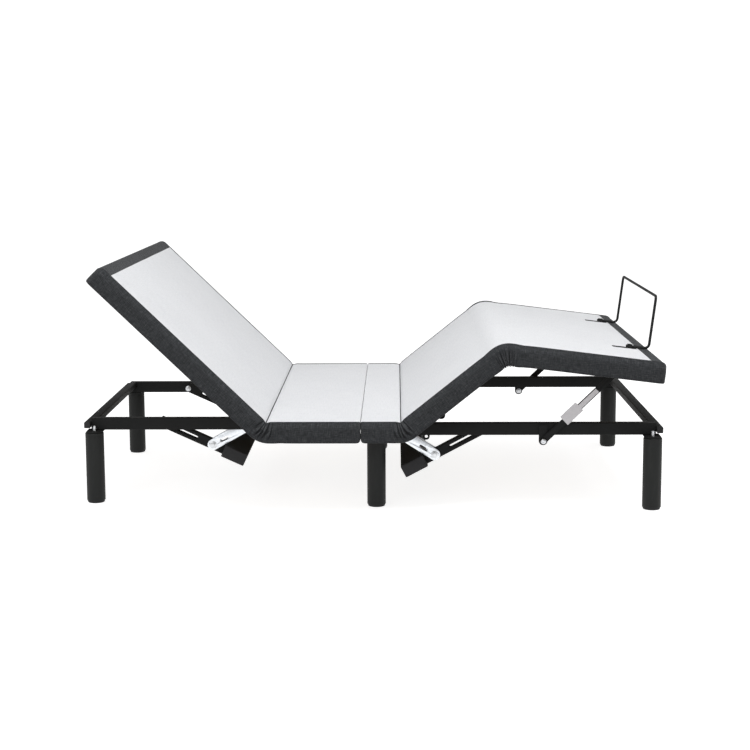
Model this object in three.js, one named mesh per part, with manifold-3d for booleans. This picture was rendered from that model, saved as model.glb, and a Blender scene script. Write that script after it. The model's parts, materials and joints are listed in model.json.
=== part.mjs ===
// Adjustable bed base: a steel frame in two halves on six legs, a padded deck in five boards
// that folds at the hips, the thighs and the knees, and two linear actuators that lift it.
// Millimetres. +X runs from the head to the foot, +Y to the sleeper's left side, +Z up.
// The origin is on the floor under the middle of the frame. The deck is modelled raised.
import * as THREE from 'three';
import { mergeVertices } from 'three/addons/utils/BufferGeometryUtils.js';
import Module from 'manifold-3d';

const wasm = await Module();
wasm.setup();

// ---- driving dimensions ----
const DECK_WIDTH = 1346;
const FRAME_LENGTH = 1867;
const GAP = 0.3;

const HEAD = { hinge: -330, length: 714, angle: 44.1, maxAngle: 58 };
const THIGH = { hinge: 106, length: 395, angle: 38.6, maxAngle: 45 };
const CALF = { length: 504, drop: 7.1 };
const HINGE_HEIGHT = 280;

const BOARD = { bottom: -3, top: 12 };
const FOAM_TOP = 24;
const SKIRT = { bottom: -38, thickness: 22 };
const SEAT_BOARD_BOTTOM = -4.7;
const HINGE_GAP = 0.5;
const HINGE_ROD = { radius: 4 };
const SUBFRAME = { size: 25, top: -5, wall: 2 };
const SPLIT = { headSide: -28.5, footSide: -25.5 };

const RAIL = { bottom: 236, top: 275, width: 30, wall: 2 };
const HEAD_HALF = { outerY: 411, start: -FRAME_LENGTH / 2, end: -28 };
const FOOT_HALF = { outerY: 517.5, start: -26.5, end: FRAME_LENGTH / 2, tab: 180.5 };
const END_BAR = { size: 20, bottom: 245, overhang: 19, band: 22 };

const LEG = { radius: 30, top: 231.4, plateTop: 235.7, plateOut: 26, stud: 4 };
const LEG_PLACES = [
  { name: 'head', x: -900, y: 430, inboard: 48, studRise: 19 },
  { name: 'middle', x: 20, y: 490, inboard: 30, studRise: 0 },
  { name: 'foot', x: 900, y: 540, inboard: 52, studRise: 19 },
];

// Each truss hangs a cross beam below the rails: a slotted arm comes down from one side
// and a zinc hanger from the other. toward is the way along X from the arm to the beam.
const HEAD_TRUSS = { joint: [-519.5, 180], toward: 1, armAngle: 24.5, armLength: 190, beamAway: 79,
  hangerAngle: 29.3, innerY: 380.7, beamHalfSpan: 400 };
const THIGH_TRUSS = { joint: [207.5, 167], toward: -1, armAngle: 28, armLength: 190, beamAway: 74.2,
  hangerAngle: 32.7, innerY: 486.7, beamHalfSpan: 505 };
const ARM = { height: 33, width: 26.5, wall: 2.5, slotLength: 70, slotRadius: 5 };
const BEAM = { along: 80, across: 40, wall: 2.5 };
const HANGER = { length: 150, radius: 18, plate: 2.7, webStart: 45 };

// Lugs stand either side of an actuator's eye: their inner and outer faces are this far from Y = 0.
const LUG = { inner: 12, outer: 16, radius: 12, pin: 6, boltHole: 5,
  span: (side) => (side < 0 ? [-16, -12] : [12, 16]) };
const ROD = { radius: 8, overlap: 85, eye: 9.5 };
const HEAD_DRIVE = { base: [-410, 190], pin: [-400, -52], tube: 290, can: 130, side: -1 };
const THIGH_DRIVE = { base: [114.7, 183.6], pin: [250, -52], tube: 214, can: 110, side: 1 };
const CONTROL_BOX = { x: -180, length: 200, width: 260, height: 32 };
const LINK = { foot: [553.5, 218], head: [385, -29], width: 20, plate: 4, pin: 6, boltHole: 5,
  tabY: 517.8, armY: 523.2, earY: 529.2 };
const RETAINER = { hook: 417, bend: 491, halfWidth: 380, rise: 172, rod: 4.5, lift: 31 };

// ---- materials ----
const paint = (color, roughness, metalness) => new THREE.MeshStandardMaterial({ color, roughness, metalness });
const BLACK_STEEL = paint(0x232424, 0.45, 0.3);
const LEG_BLACK = paint(0x2b2d2c, 0.7, 0.0);
const ZINC = paint(0xc9ced2, 0.35, 0.9);
const BOARD_WOOD = paint(0x9a8468, 0.85, 0.0);
const DARK_LINEN = paint(0x3c3e40, 0.95, 0.0);
const MOTOR_BLACK = paint(0x1c1c1d, 0.6, 0.0);

// ---- solids ----
const rad = THREE.MathUtils.degToRad;

function solidOf(geometry) {
  const bare = geometry.clone();
  bare.deleteAttribute('normal');
  bare.deleteAttribute('uv');
  const merged = mergeVertices(bare, 1e-4);
  return new wasm.Manifold(new wasm.Mesh({
    numProp: 3,
    vertProperties: new Float32Array(merged.attributes.position.array),
    triVerts: new Uint32Array(merged.index.array),
  }));
}

function geometryOf(solid) {
  const mesh = solid.getMesh();
  const geometry = new THREE.BufferGeometry();
  geometry.setAttribute('position', new THREE.BufferAttribute(mesh.vertProperties, 3));
  geometry.setIndex(new THREE.BufferAttribute(mesh.triVerts, 1));
  return geometry;
}

const join = (...geometries) => geometryOf(geometries.map(solidOf).reduce((sum, next) => sum.add(next)));
const cut = (geometry, ...tools) =>
  geometryOf(tools.map(solidOf).reduce((left, tool) => left.subtract(tool), solidOf(geometry)));

// A box from its lowest and highest corners.
function block([x0, y0, z0], [x1, y1, z1]) {
  const box = new THREE.BoxGeometry(x1 - x0, y1 - y0, z1 - z0);
  return box.translate((x0 + x1) / 2, (y0 + y1) / 2, (z0 + z1) / 2);
}

// A round bar along Y between two values of Y, centred on (x, z).
function roundY(radius, y0, y1, x = 0, z = 0, sides = 24) {
  return new THREE.CylinderGeometry(radius, radius, y1 - y0, sides).translate(x, (y0 + y1) / 2, z);
}

// A flat outline drawn in X and Z, given thickness from y0 to y1.
function plateY(outline, y0, y1) {
  const plate = new THREE.ExtrudeGeometry(outline, { depth: y1 - y0, bevelEnabled: false, curveSegments: 8 });
  return plate.rotateX(Math.PI / 2).translate(0, y1, 0);
}

// A tab that runs straight from z = root to a round end about (x, z).
function lugOutline(x, z, radius, root) {
  const turn = Math.sign(z - root);
  const outline = new THREE.Shape();
  outline.moveTo(x - turn * radius, root);
  outline.lineTo(x + turn * radius, root);
  outline.absarc(x, z, radius, turn > 0 ? 0 : Math.PI, turn > 0 ? Math.PI : 2 * Math.PI);
  return outline;
}

// A strap outline with round ends about (0, 0) and (length, 0).
function strap(length, radius) {
  const outline = new THREE.Shape();
  outline.absarc(length, 0, radius, -Math.PI / 2, Math.PI / 2);
  outline.absarc(0, 0, radius, Math.PI / 2, 1.5 * Math.PI);
  return outline;
}

function roundedRectangle(width, height, radius) {
  const [x, y] = [width / 2 - radius, height / 2 - radius];
  const outline = new THREE.Shape();
  outline.absarc(x, -y, radius, -Math.PI / 2, 0);
  outline.absarc(x, y, radius, 0, Math.PI / 2);
  outline.absarc(-x, y, radius, Math.PI / 2, Math.PI);
  outline.absarc(-x, -y, radius, Math.PI, 1.5 * Math.PI);
  return outline;
}

// Rectangular tube along X from x0 to x1: width in Y, height in Z, open at both ends.
function tubeX(x0, x1, width, height, wall, corner = 3) {
  const outline = roundedRectangle(width, height, corner);
  outline.holes.push(new THREE.Path(roundedRectangle(width - 2 * wall, height - 2 * wall, 1).getPoints(1)));
  const tube = new THREE.ExtrudeGeometry(outline, { depth: x1 - x0, bevelEnabled: false, curveSegments: 3 });
  const alongX = new THREE.Matrix4().makeBasis(
    new THREE.Vector3(0, 1, 0), new THREE.Vector3(0, 0, 1), new THREE.Vector3(1, 0, 0));
  return tube.applyMatrix4(alongX).translate(x0, 0, 0);
}

// The same tube along Y, centred on Y = 0, with width in X.
const tubeY = (span, width, height, wall) => tubeX(-span / 2, span / 2, width, height, wall).rotateZ(Math.PI / 2);

// ---- scene graph ----
const bed = new THREE.Group();

function place(parent, name, geometry, material, [x, y, z] = [0, 0, 0], turnY = 0) {
  const mesh = new THREE.Mesh(geometry, material);
  mesh.name = name;
  mesh.position.set(x, y, z);
  mesh.rotation.y = turnY;
  parent.add(mesh);
  return mesh;
}

const SIDES = [['right', -1], ['left', 1]];
const mirrorY = (geometry, side) => geometryOf(solidOf(geometry).scale([1, side, 1]));
const faceToward = (geometry, toward) => geometryOf(solidOf(geometry).scale([toward, 1, 1]));

// ---- frame halves ----
// A rail with small drilled tabs hanging below it.
function railWithTabs(x0, x1, tabs) {
  const height = RAIL.top - RAIL.bottom;
  const tube = tubeX(x0, x1, RAIL.width, height, RAIL.wall);
  if (tabs.length === 0) return tube;
  const tabDrop = height / 2 + 6;
  const plates = tabs.map((x) => cut(
    plateY(lugOutline(0, -tabDrop, 11, -height / 2 + 1), -2, 2),
    roundY(5, -3, 3, 0, -tabDrop, 16)).translate(x, 0, 0));
  return join(tube, ...plates);
}

// Two side rails, a double end frame and a cross bar at the seat. endSide is -1 at the head, 1 at the foot.
function frameHalf(name, half, endSide, tabs) {
  const middle = (RAIL.top + RAIL.bottom) / 2;
  const height = RAIL.top - RAIL.bottom;
  const innerSpan = 2 * (half.outerY - RAIL.width - GAP);
  const barWidth = RAIL.width - 1.5;
  const outerEnd = endSide < 0 ? half.start : half.end;
  const seatEnd = endSide < 0 ? half.end : half.start;
  const railOuter = outerEnd - endSide * (END_BAR.size + GAP);
  const railInner = seatEnd + endSide * (barWidth + GAP);
  for (const [sideName, side] of SIDES) {
    const rail = railWithTabs(Math.min(railOuter, railInner), Math.max(railOuter, railInner), tabs);
    place(bed, `${name}_rail_${sideName}`, rail, BLACK_STEEL, [0, side * (half.outerY - RAIL.width / 2), middle]);
  }
  const bar = tubeY(2 * (half.outerY + END_BAR.overhang), END_BAR.size, END_BAR.size, RAIL.wall);
  const bandDrop = RAIL.top - END_BAR.band / 2 - (END_BAR.bottom + END_BAR.size / 2);
  const bandSetback = (END_BAR.size + END_BAR.band) / 2 - 1;
  const band = tubeY(innerSpan, END_BAR.band, END_BAR.band, RAIL.wall).translate(-endSide * bandSetback, 0, bandDrop);
  place(bed, `${name}_end_frame`, join(bar, band), BLACK_STEEL,
    [outerEnd - endSide * END_BAR.size / 2, 0, END_BAR.bottom + END_BAR.size / 2]);
  const seatBar = tubeY(2 * half.outerY, barWidth, height, RAIL.wall);
  place(bed, `${name}_seat_bar`, seatBar, BLACK_STEEL, [seatEnd + endSide * barWidth / 2, 0, middle]);
}

frameHalf('head', HEAD_HALF, -1, []);
frameHalf('foot', FOOT_HALF, 1, [FOOT_HALF.tab]);

// ---- legs ----
function legShape() {
  const { radius, top } = LEG;
  const rim = 3;
  const points = [[0, 0], [radius - rim, 0], [radius - 1, 1], [radius, rim], [radius, top - rim], [radius - rim, top], [0, top]];
  return new THREE.LatheGeometry(points.map(([r, z]) => new THREE.Vector2(r, z)), 32).rotateX(Math.PI / 2);
}

// The plate welded under a rail, with the leg's stud standing up outboard of the rail.
function legPlate(inboard, studRise) {
  const plate = block([-LEG.radius, -inboard, LEG.top + GAP], [LEG.radius, LEG.plateOut, LEG.plateTop]);
  if (studRise === 0) return plate;
  const stud = new THREE.CylinderGeometry(LEG.stud, LEG.stud, studRise, 16).rotateX(Math.PI / 2);
  return join(plate, stud.translate(0, 0, LEG.plateTop + studRise / 2 - 1));
}

for (const { name, x, y, inboard, studRise } of LEG_PLACES) {
  for (const [sideName, side] of SIDES) {
    place(bed, `leg_${name}_${sideName}`, legShape(), LEG_BLACK, [x, side * y, 0]);
    const plate = mirrorY(legPlate(inboard, studRise), side);
    place(bed, `leg_plate_${name}_${sideName}`, plate, BLACK_STEEL, [x, side * y, 0]);
  }
}

// ---- hanging trusses that carry the actuators ----
// Each is drawn for the head end, with its joint at (0, 0) and its beam towards +X, then turned to suit.
function trussArm(spec, armEnd) {
  const outer = tubeX(-spec.armLength, armEnd, ARM.width, ARM.height, ARM.wall);
  const slot = plateY(strap(ARM.slotLength, ARM.slotRadius), -ARM.width, ARM.width);
  return cut(outer, slot.translate(-spec.armLength / 2 - ARM.slotLength / 2, 0, 0)).rotateY(rad(spec.armAngle));
}

// A zinc channel: two plates with round ends, either side of the arm, and a web along their upper edge.
function hanger(spec) {
  const { length, radius, plate, webStart } = HANGER;
  const inner = -(ARM.width + 2 * GAP + 2 * plate);
  const outline = strap(length, radius);
  const web = block([webStart, inner, radius - plate], [length, 0, radius]);
  const body = join(plateY(outline, -plate, 0), plateY(outline, inner, inner + plate), web);
  const slot = plateY(strap(20, 5), inner - 1, 1).translate(32, 0, -1);
  const holes = [[-6, 7], [3, -8]].map(([x, z]) => roundY(4, inner - 1, 1, x, z, 16));
  return cut(body, slot, ...holes).rotateY(-rad(spec.hangerAngle));
}

// The cross beam, with two lugs and a pin that hold the foot of the actuator.
function crossBeam(spec, lugAlong, lugUp) {
  const beam = tubeY(2 * spec.beamHalfSpan, BEAM.along, BEAM.across, BEAM.wall);
  const outline = lugOutline(lugAlong, lugUp, LUG.radius, BEAM.across / 2 - 1);
  const lugs = [-1, 1].map((side) => plateY(outline, ...LUG.span(side)));
  const pin = roundY(LUG.pin, -LUG.outer, LUG.outer, lugAlong, lugUp);
  return join(beam, ...lugs, pin).rotateY(rad(spec.armAngle));
}

function truss(name, spec, drive) {
  const [jointX, jointZ] = spec.joint;
  const { toward } = spec;
  const down = rad(spec.armAngle);
  const centre = [spec.beamAway * Math.cos(down), -spec.beamAway * Math.sin(down)];
  const [baseX, baseZ] = [toward * (drive.base[0] - jointX) - centre[0], drive.base[1] - jointZ - centre[1]];
  const lugAlong = baseX * Math.cos(down) - baseZ * Math.sin(down);
  const lugUp = baseX * Math.sin(down) + baseZ * Math.cos(down);
  const armEnd = spec.beamAway - BEAM.along / 2 - GAP;
  const armY = spec.innerY - HANGER.plate - GAP - ARM.width / 2;
  for (const [sideName, side] of SIDES) {
    place(bed, `${name}_truss_arm_${sideName}`, faceToward(trussArm(spec, armEnd), toward), BLACK_STEEL,
      [jointX, side * armY, jointZ]);
    place(bed, `${name}_hanger_${sideName}`, faceToward(mirrorY(hanger(spec), side), toward), ZINC,
      [jointX, side * spec.innerY, jointZ]);
  }
  place(bed, `${name}_beam`, faceToward(crossBeam(spec, lugAlong, lugUp), toward), BLACK_STEEL,
    [jointX + toward * centre[0], 0, jointZ + centre[1]]);
}

truss('head', HEAD_TRUSS, HEAD_DRIVE);
truss('thigh', THIGH_TRUSS, THIGH_DRIVE);

// ---- deck ----
// A layer's side outline. Each end is { x, above, below }: x at hinge level, and how far the end face
// leans back into the layer for each millimetre above and below that level.
function layerOutline(left, right, bottom, top) {
  const levels = bottom < 0 && top > 0 ? [bottom, 0, top] : [bottom, top];
  const lean = (end, z) => (z > 0 ? end.above * z : -end.below * z);
  const rightEdge = levels.map((z) => new THREE.Vector2(right.x - lean(right, z), z));
  const leftEdge = levels.map((z) => new THREE.Vector2(left.x + lean(left, z), z)).reverse();
  return new THREE.Shape([...rightEdge, ...leftEdge]);
}

const squareEnd = (x) => ({ x, above: 0, below: 0 });
const foldsUp = (x, degrees) => ({ x, above: Math.tan(rad(degrees / 2)), below: 0 });
const foldsDown = (x, degrees) => ({ x, above: 0, below: Math.tan(rad(degrees / 2)) });
const rodGroove = (x) => roundY(HINGE_ROD.radius + 1.2, -DECK_WIDTH, DECK_WIDTH, x, 0);

// A board with a groove for the hinge rod at each folding end.
function board(left, right, bottom, grooves) {
  const halfWidth = DECK_WIDTH / 2 - SKIRT.thickness - GAP;
  const plank = plateY(layerOutline(left, right, bottom, BOARD.top), -halfWidth, halfWidth);
  return cut(plank, ...grooves.map(rodGroove));
}

// The padding: foam over the board, with skirts down both sides and, from skirtLeft or skirtRight, an end.
function padding(left, right, skirtLeft, skirtRight) {
  const body = plateY(layerOutline(left, right, SKIRT.bottom, FOAM_TOP), -DECK_WIDTH / 2, DECK_WIDTH / 2);
  const halfInside = DECK_WIDTH / 2 - SKIRT.thickness;
  const x0 = skirtLeft ? left.x + SKIRT.thickness : left.x - 5;
  const x1 = skirtRight ? right.x - SKIRT.thickness : right.x + 5;
  return cut(body, block([x0, -halfInside, SKIRT.bottom - 1], [x1, halfInside, BOARD.top + GAP]));
}

// A ladder of square tube under a board, open at its hinge end, with lugs for an actuator if it has a pin.
function subframe(x0, x1, sideY, crosses, pin) {
  const { size, top, wall } = SUBFRAME;
  const half = size / 2;
  const bars = (inset) => [
    ...[-sideY, sideY].map((y) => block([x0 - inset, y - half + inset, top - size + inset],
      [x1 + inset, y + half - inset, top - inset])),
    ...crosses.map((x) => block([x - half + inset, -sideY, top - size + inset],
      [x + half - inset, sideY, top - inset])),
  ].map(solidOf).reduce((sum, next) => sum.add(next));
  const ladder = geometryOf(bars(0).subtract(bars(wall)));
  if (!pin) return ladder;
  const [pinX, pinZ] = pin;
  const outline = lugOutline(pinX, pinZ, LUG.radius, top - size + 1);
  const lugs = [-1, 1].map((side) => plateY(outline, ...LUG.span(side)));
  return cut(join(ladder, ...lugs), roundY(LUG.boltHole, -LUG.outer - 1, LUG.outer + 1, pinX, pinZ, 16));
}

const seatGroup = new THREE.Group();
seatGroup.position.z = HINGE_HEIGHT;
bed.add(seatGroup);
const seatEnds = [foldsUp(HEAD.hinge + HINGE_GAP, HEAD.maxAngle), squareEnd(SPLIT.headSide)];
const frontEnds = [squareEnd(SPLIT.footSide), foldsUp(THIGH.hinge - HINGE_GAP, THIGH.maxAngle)];
place(seatGroup, 'seat_board', board(...seatEnds, SEAT_BOARD_BOTTOM, [HEAD.hinge]), BOARD_WOOD);
place(seatGroup, 'seat_pad', padding(...seatEnds, false, false), DARK_LINEN);
place(seatGroup, 'front_seat_board', board(...frontEnds, SEAT_BOARD_BOTTOM, [THIGH.hinge]), BOARD_WOOD);
place(seatGroup, 'front_seat_pad', padding(...frontEnds, false, false), DARK_LINEN);

function hingeRod(parent, name, x) {
  const reach = DECK_WIDTH / 2 - SKIRT.thickness - 10;
  place(parent, name, roundY(HINGE_ROD.radius, -reach, reach), ZINC, [x, 0, 0]);
}

hingeRod(seatGroup, 'head_hinge_rod', HEAD.hinge);
hingeRod(seatGroup, 'thigh_hinge_rod', THIGH.hinge);

// The deck's outer end: the board stops inside the skirt.
const insideSkirt = (x) => squareEnd(x - Math.sign(x) * (SKIRT.thickness + GAP));

const headGroup = new THREE.Group();
headGroup.position.set(HEAD.hinge, 0, HINGE_HEIGHT);
headGroup.rotation.y = rad(HEAD.angle);
bed.add(headGroup);
const headFold = foldsUp(-HINGE_GAP, HEAD.maxAngle);
place(headGroup, 'head_board', board(insideSkirt(-HEAD.length), headFold, BOARD.bottom, [0]), BOARD_WOOD);
place(headGroup, 'head_pad', padding(squareEnd(-HEAD.length), headFold, true, false), DARK_LINEN);
place(headGroup, 'head_subframe', subframe(-560, -16, 320, [-547.5, HEAD_DRIVE.pin[0]], HEAD_DRIVE.pin), BLACK_STEEL);

const thighGroup = new THREE.Group();
thighGroup.position.set(THIGH.hinge, 0, HINGE_HEIGHT);
thighGroup.rotation.y = -rad(THIGH.angle);
bed.add(thighGroup);
const kneeMax = THIGH.maxAngle * (THIGH.angle + CALF.drop) / THIGH.angle;
const thighFold = foldsUp(HINGE_GAP, THIGH.maxAngle);
const thighKnee = foldsDown(THIGH.length - HINGE_GAP, kneeMax);
place(thighGroup, 'thigh_board', board(thighFold, thighKnee, BOARD.bottom, [0, THIGH.length]), BOARD_WOOD);
place(thighGroup, 'thigh_pad', padding(thighFold, thighKnee, false, false), DARK_LINEN);
hingeRod(thighGroup, 'knee_hinge_rod', THIGH.length);

function thighFrame() {
  const ladder = subframe(16, 360, 430, [THIGH_DRIVE.pin[0], 347.5], THIGH_DRIVE.pin);
  const gusset = new THREE.Shape();
  gusset.moveTo(60, -26);
  gusset.lineTo(92, -80);
  gusset.quadraticCurveTo(104, -90, 114, -78);
  gusset.quadraticCurveTo(126, -52, 158, -26);
  const sides = [-441, 437].map((y) => plateY(gusset, y, y + 4));
  return join(ladder, ...sides);
}
place(thighGroup, 'thigh_subframe', thighFrame(), BLACK_STEEL);

const calfGroup = new THREE.Group();
calfGroup.position.x = THIGH.length;
calfGroup.rotation.y = rad(THIGH.angle + CALF.drop);
thighGroup.add(calfGroup);
const calfKnee = foldsDown(HINGE_GAP, kneeMax);
place(calfGroup, 'calf_board', board(calfKnee, insideSkirt(CALF.length), BOARD.bottom, [0]), BOARD_WOOD);
place(calfGroup, 'calf_pad', padding(calfKnee, squareEnd(CALF.length), false, true), DARK_LINEN);
place(calfGroup, 'calf_subframe', subframe(30, 380, 430, [60, 367.5]), BLACK_STEEL);

// ---- mattress retainer ----
// The middle line of a bent rod: straight runs with a quarter turn at each bend.
class BentRod extends THREE.Curve {
  constructor(corners, radius) {
    super();
    const points = [corners[0]];
    for (let i = 1; i < corners.length - 1; i += 1) {
      const into = corners[i - 1].clone().sub(corners[i]).normalize();
      const out = corners[i + 1].clone().sub(corners[i]).normalize();
      for (const turn of [0, 0.25, 0.5, 0.75, 1].map((part) => part * Math.PI / 2)) {
        points.push(corners[i].clone()
          .addScaledVector(into, radius * (1 - Math.sin(turn)))
          .addScaledVector(out, radius * (1 - Math.cos(turn))));
      }
    }
    points.push(corners.at(-1));
    this.points = points;
    this.steps = points.length - 1;
  }

  getPoint(t) {
    const place = Math.min(Math.max(t, 0), 1) * this.steps;
    const index = Math.min(Math.floor(place + 1e-9), this.steps - 1);
    return this.points[index].clone().lerp(this.points[index + 1], place - index);
  }

  getUtoTmapping(u) {
    return u;
  }
}

function retainerBar() {
  const { hook, bend, halfWidth, rise, rod, lift } = RETAINER;
  const route = [[hook, -halfWidth, lift], [bend, -halfWidth, lift], [bend, -halfWidth, lift + rise],
    [bend, halfWidth, lift + rise], [bend, halfWidth, lift], [hook, halfWidth, lift]];
  const curve = new BentRod(route.map((point) => new THREE.Vector3(...point)), 14);
  const section = new THREE.Shape(new THREE.Path().absarc(0, 0, rod, 0, 2 * Math.PI).getPoints(6).slice(0, -1));
  return new THREE.ExtrudeGeometry(section, { steps: curve.steps, extrudePath: curve, bevelEnabled: false });
}

// A flat plate on the fabric with a bridge that holds the end of the rod down.
function retainerClip() {
  const { hook, rod, lift } = RETAINER;
  const base = block([hook - 44, -14, FOAM_TOP + GAP], [hook + 34, 14, lift - rod - GAP]);
  const over = lift + rod + 0.5;
  const cheeks = [-1, 1].map((side) => {
    const [y0, y1] = side < 0 ? [-rod - 2.5, -rod - 0.5] : [rod + 0.5, rod + 2.5];
    return block([hook + 4, y0, lift - rod - 1], [hook + 20, y1, over + 2]);
  });
  const bridge = block([hook + 4, -rod - 2.5, over], [hook + 20, rod + 2.5, over + 2]);
  return join(base, ...cheeks, bridge);
}

place(calfGroup, 'retainer_bar', retainerBar(), BLACK_STEEL);
for (const [sideName, side] of SIDES) {
  place(calfGroup, `retainer_clip_${sideName}`, retainerClip(), BLACK_STEEL, [0, side * RETAINER.halfWidth, 0]);
}

// ---- lift links outside the foot rails ----
const calfPlace = (x, z) => {
  bed.updateMatrixWorld(true);
  return calfGroup.localToWorld(new THREE.Vector3(x, 0, z));
};
const linkTop = calfPlace(...LINK.head);
const linkRun = [linkTop.x - LINK.foot[0], linkTop.z - LINK.foot[1]];

function linkBar() {
  const length = Math.hypot(...linkRun);
  const bar = plateY(strap(length, LINK.width / 2), 0, LINK.plate);
  return cut(bar, roundY(LINK.pin + 0.4, -1, LINK.plate + 1), roundY(LINK.boltHole, -1, LINK.plate + 1, length));
}

// A tab on the rail's outer face, with the headed pin that the link turns on.
function linkTab() {
  const tab = plateY(lugOutline(0, 0, 14, RAIL.top - LINK.foot[1] - 6), 0, LINK.plate);
  const headStart = LINK.armY - LINK.tabY + LINK.plate + GAP;
  const pin = roundY(LINK.pin, LINK.plate - 1, headStart + 1);
  return join(tab, pin, roundY(LINK.pin + 3, headStart, headStart + 4));
}

// An angle bracket under the calf board: a flange against the board and a drilled ear.
function linkBracket() {
  const [x, z] = LINK.head;
  const flangeTop = BOARD.bottom - GAP;
  const flange = block([x - 30, 0, flangeTop - 3], [x + 30, 40, flangeTop]);
  const ear = plateY(lugOutline(x, z, 12, flangeTop - 3 + 1), 0, LINK.plate);
  return cut(join(flange, ear), roundY(LINK.boltHole, -1, LINK.plate + 1, x, z, 16));
}

for (const [sideName, side] of SIDES) {
  place(bed, `link_tab_${sideName}`, mirrorY(linkTab(), side), BLACK_STEEL,
    [LINK.foot[0], side * LINK.tabY, LINK.foot[1]]);
  place(bed, `foot_link_${sideName}`, mirrorY(linkBar(), side), BLACK_STEEL,
    [LINK.foot[0], side * LINK.armY, LINK.foot[1]], -Math.atan2(linkRun[1], linkRun[0]));
  place(calfGroup, `link_bracket_${sideName}`, mirrorY(linkBracket(), side), BLACK_STEEL, [0, side * LINK.earY, 0]);
}

// ---- actuators and control box ----
// The motor lies along +X from its pivot: an eye, a gearbox, a motor can beside it and the outer tube.
// Gearbox and can stand up from the tube rather than down, so that they pass over the beam when
// the deck is flat; side turns the whole body over where its own +Z points down.
function motorBody(drive) {
  const eye = roundY(LUG.radius - 1, -LUG.inner + 2, LUG.inner - 2);
  const neck = block([0, -9, -9], [24, 9, 9]);
  const gearbox = block([20, -25, -16], [62, 70, 32]);
  const can = new THREE.CylinderGeometry(24, 24, drive.can, 28).rotateZ(Math.PI / 2)
    .translate(60 + drive.can / 2, 46, 8);
  const tube = new THREE.CylinderGeometry(15, 15, drive.tube - 60, 24).rotateZ(Math.PI / 2);
  const bore = new THREE.CylinderGeometry(ROD.radius + 3, ROD.radius + 3, drive.tube, 24).rotateZ(Math.PI / 2);
  const body = join(eye, neck, gearbox, can, tube.translate((drive.tube + 60) / 2, 0, 0));
  const drilled = cut(body, roundY(LUG.pin + 0.5, -30, 30), bore.translate(drive.tube / 2 + 64, 0, 0));
  return drive.side < 0 ? drilled.rotateX(Math.PI) : drilled;
}

// The rod slides in the tube and ends in an eye between the lugs under the deck.
function driveRod(reach, tube) {
  const start = tube - ROD.overlap;
  const rod = new THREE.CylinderGeometry(ROD.radius, ROD.radius, reach - start, 20).rotateZ(Math.PI / 2);
  const eye = roundY(ROD.eye, -LUG.inner + 2, LUG.inner - 2);
  const body = join(rod.translate((reach + start) / 2, 0, 0), eye.translate(reach, 0, 0));
  return cut(body, roundY(LUG.boltHole, -20, 20, reach, 0, 16));
}

function actuator(name, drive, deckGroup) {
  bed.updateMatrixWorld(true);
  const pin = deckGroup.localToWorld(new THREE.Vector3(drive.pin[0], 0, drive.pin[1]));
  const [baseX, baseZ] = drive.base;
  const turn = -Math.atan2(pin.z - baseZ, pin.x - baseX);
  const reach = Math.hypot(pin.x - baseX, pin.z - baseZ);
  place(bed, `${name}_motor`, motorBody(drive), MOTOR_BLACK, [baseX, 0, baseZ], turn);
  place(bed, `${name}_drive_rod`, driveRod(reach, drive.tube), ZINC, [baseX, 0, baseZ], turn);
}

actuator('head', HEAD_DRIVE, headGroup);
actuator('thigh', THIGH_DRIVE, thighGroup);

const box = new THREE.ExtrudeGeometry(roundedRectangle(CONTROL_BOX.length, CONTROL_BOX.width, 12),
  { depth: CONTROL_BOX.height, bevelEnabled: false, curveSegments: 4 });
place(bed, 'control_box', box, MOTOR_BLACK,
  [CONTROL_BOX.x, 0, HINGE_HEIGHT + SEAT_BOARD_BOTTOM - GAP - CONTROL_BOX.height]);

export default bed;
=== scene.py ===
"""Adjustable bed base: upholstered folding deck, powder-coated frame, hardware and studio.

Everything is in metres in the frame's own axes: +X from head to foot, +Y to the sleeper's left, +Z up.
The upholstery is drawn on the flat deck and then raised, so that its cloth keeps its length at each fold.
"""
import json
import math
import bmesh
import bpy
import numpy as np
from mathutils import Matrix, Vector


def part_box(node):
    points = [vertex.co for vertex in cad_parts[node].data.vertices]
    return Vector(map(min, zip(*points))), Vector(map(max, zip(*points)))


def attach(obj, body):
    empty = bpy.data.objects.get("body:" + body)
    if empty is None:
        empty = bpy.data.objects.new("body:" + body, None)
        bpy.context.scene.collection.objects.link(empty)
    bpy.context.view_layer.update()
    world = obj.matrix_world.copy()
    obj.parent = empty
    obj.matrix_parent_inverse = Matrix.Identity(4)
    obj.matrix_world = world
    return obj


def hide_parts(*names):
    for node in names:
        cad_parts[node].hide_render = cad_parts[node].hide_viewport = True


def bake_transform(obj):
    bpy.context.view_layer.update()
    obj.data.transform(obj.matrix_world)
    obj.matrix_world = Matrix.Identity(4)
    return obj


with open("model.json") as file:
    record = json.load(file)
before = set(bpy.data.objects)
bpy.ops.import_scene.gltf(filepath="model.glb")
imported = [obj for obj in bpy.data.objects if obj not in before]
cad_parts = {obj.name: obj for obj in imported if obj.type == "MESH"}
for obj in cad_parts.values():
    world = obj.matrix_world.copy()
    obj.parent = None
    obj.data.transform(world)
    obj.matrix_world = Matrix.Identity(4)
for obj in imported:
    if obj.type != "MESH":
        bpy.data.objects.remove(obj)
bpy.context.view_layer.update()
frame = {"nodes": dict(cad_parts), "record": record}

MM = 0.001
JOINTS = {joint["name"]: joint for joint in frame["record"]["behaviour"]["joints"]}

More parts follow.
